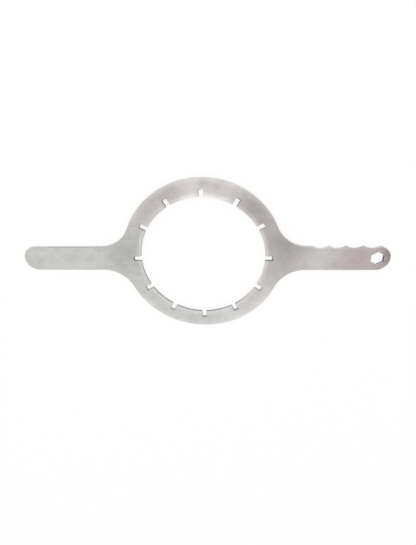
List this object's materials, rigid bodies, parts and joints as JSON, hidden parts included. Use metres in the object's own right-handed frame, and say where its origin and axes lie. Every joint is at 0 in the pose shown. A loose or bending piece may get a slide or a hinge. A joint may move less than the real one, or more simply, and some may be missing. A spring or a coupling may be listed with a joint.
{
  "type": "filter housing wrench",
  "caption": "Flat cut-plate wrench: a notched ring that drops over the lid of a filter housing, two opposite handles, a finger grip along one edge and a hexagon hole at one end.",
  "frame": {"origin": "centre of the ring's bore, on the underside of the plate", "axes": "+X along the handles, towards the one with the finger grip and hexagon hole; +Z out of the upper face, along the bore's axis"},
  "size_m": [0.4496, 0.196, 0.0032],
  "materials": {
    "plate_steel": "dull mill-finished steel plate with darker laser-cut edges"
  },
  "bodies": {
    "root": {"wrench_plate": "plate_steel"}
  },
  "joints": []
}
